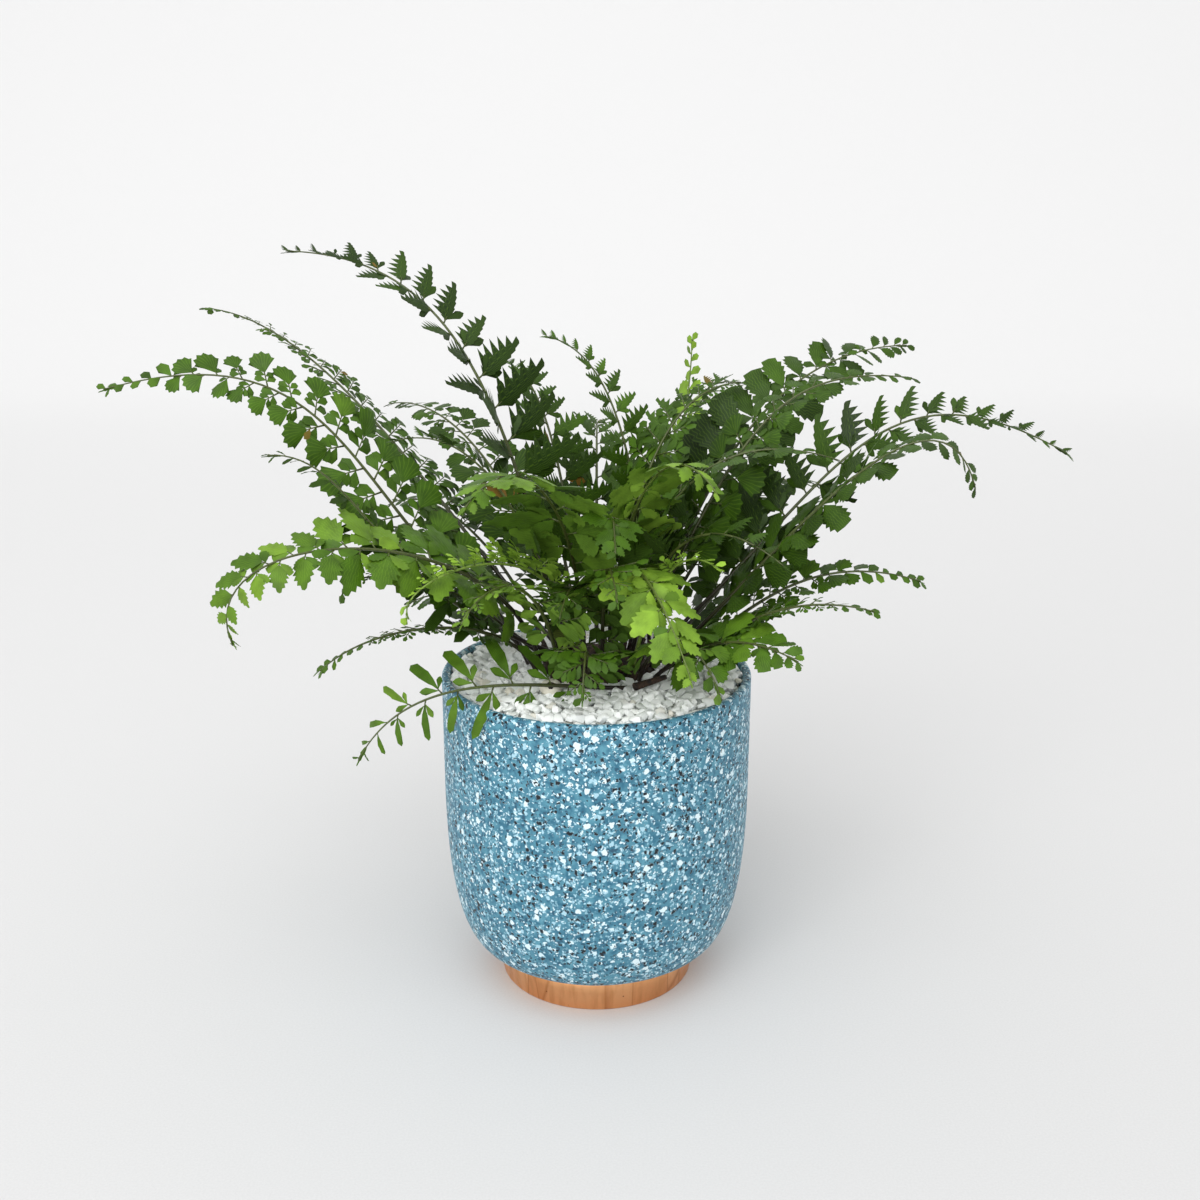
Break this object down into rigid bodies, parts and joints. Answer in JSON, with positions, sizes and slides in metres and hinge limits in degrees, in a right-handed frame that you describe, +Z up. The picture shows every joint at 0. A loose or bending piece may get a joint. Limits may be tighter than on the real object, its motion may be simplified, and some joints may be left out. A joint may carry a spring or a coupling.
{
  "type": "potted fern",
  "caption": "Potted fern with arching twice-cut fronds in a round speckled terrazzo pot on a copper-coloured foot, topped with white stone chips.",
  "frame": {"origin": "centre of the foot's flat underside, on the pot's axis", "axes": "+Z up along the pot's axis, -Y towards the front, +X to the right seen from the front"},
  "size_m": [0.4416, 0.2561, 0.3549],
  "materials": {
    "terrazzo": "matt cast terrazzo, blue-teal with white, pale blue and black chips",
    "copper_leaf": "metallic copper leaf laid over the cast foot, satin",
    "potting_mix": "dark damp peat and bark, matt",
    "white_stone": "white marble chips, matt",
    "rhizome": "dark scaly rhizome and old leaf bases, matt",
    "fern_leaf": "living fern leaf, mid to deep green with a soft sheen; dark brown stipes at the base"
  },
  "bodies": {
    "root": {"pot_body": "terrazzo", "pot_foot": "copper_leaf", "potting_mix": "potting_mix", "pebble_layer": "white_stone", "crown": "rhizome", "frond_01": "fern_leaf", "frond_02": "fern_leaf", "frond_03": "fern_leaf", "frond_04": "fern_leaf", "frond_05": "fern_leaf", "frond_06": "fern_leaf", "frond_07": "fern_leaf", "frond_08": "fern_leaf", "frond_09": "fern_leaf", "frond_10": "fern_leaf", "frond_11": "fern_leaf", "frond_12": "fern_leaf", "frond_13": "fern_leaf", "frond_14": "fern_leaf", "frond_15": "fern_leaf", "frond_16": "fern_leaf", "frond_17": "fern_leaf", "frond_18": "fern_leaf", "frond_19": "fern_leaf", "frond_20": "fern_leaf", "frond_21": "fern_leaf", "frond_22": "fern_leaf", "frond_23": "fern_leaf", "frond_24": "fern_leaf", "frond_25": "fern_leaf", "frond_26": "fern_leaf", "frond_27": "fern_leaf", "frond_28": "fern_leaf", "frond_29": "fern_leaf", "frond_30": "fern_leaf", "frond_31": "fern_leaf", "frond_32": "fern_leaf", "frond_33": "fern_leaf", "frond_34": "fern_leaf", "frond_35": "fern_leaf", "frond_36": "fern_leaf", "frond_37": "fern_leaf", "frond_38": "fern_leaf", "frond_39": "fern_leaf", "frond_40": "fern_leaf", "frond_41": "fern_leaf", "frond_42": "fern_leaf", "frond_43": "fern_leaf", "frond_44": "fern_leaf"}
  },
  "joints": []
}
